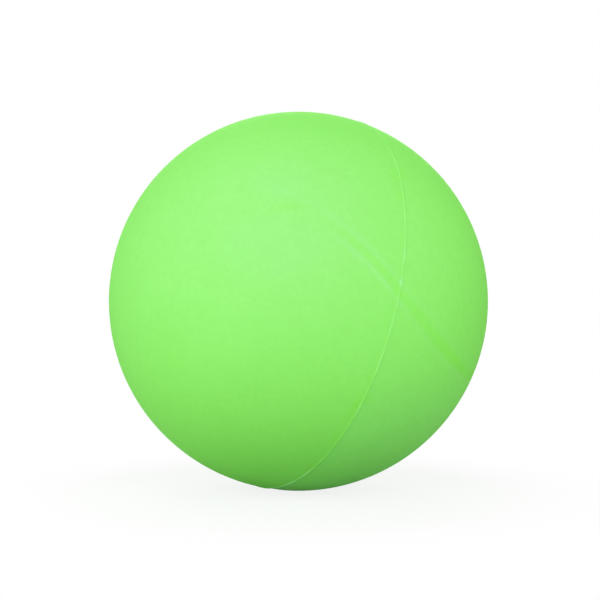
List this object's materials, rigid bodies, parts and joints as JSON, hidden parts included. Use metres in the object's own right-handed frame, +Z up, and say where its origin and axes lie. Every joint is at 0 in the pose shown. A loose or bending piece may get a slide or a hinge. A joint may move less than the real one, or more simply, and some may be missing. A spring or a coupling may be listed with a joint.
{
  "type": "dodgeball",
  "caption": "Inflatable rubber ball with a smooth matte cover of two joined blanks, a raised mould line, a wound thread layer, an air bladder and a needle valve.",
  "frame": {"origin": "centre of the ball", "axes": "+Z is up as the ball lies in the picture, the picture looks along +Y, and +X is to its right; the mould's axis, with the valve at its end, points to the right, back and down"},
  "size_m": [0.216, 0.216, 0.216],
  "materials": {
    "cover_rubber": "smooth matte light green, moulded",
    "strip_rubber": "smooth matte light green, a little deeper than the cover",
    "winding_thread": "white thread set in latex",
    "bladder_rubber": "smooth black",
    "valve_rubber": "matte black",
    "plug_rubber": "soft matte dark grey"
  },
  "bodies": {
    "root": {"plain_cover_blank": "cover_rubber", "valve_cover_blank": "cover_rubber", "joint_strip": "strip_rubber", "thread_winding": "winding_thread", "bladder": "bladder_rubber", "valve_housing": "valve_rubber", "valve_plug": "plug_rubber"}
  },
  "joints": []
}
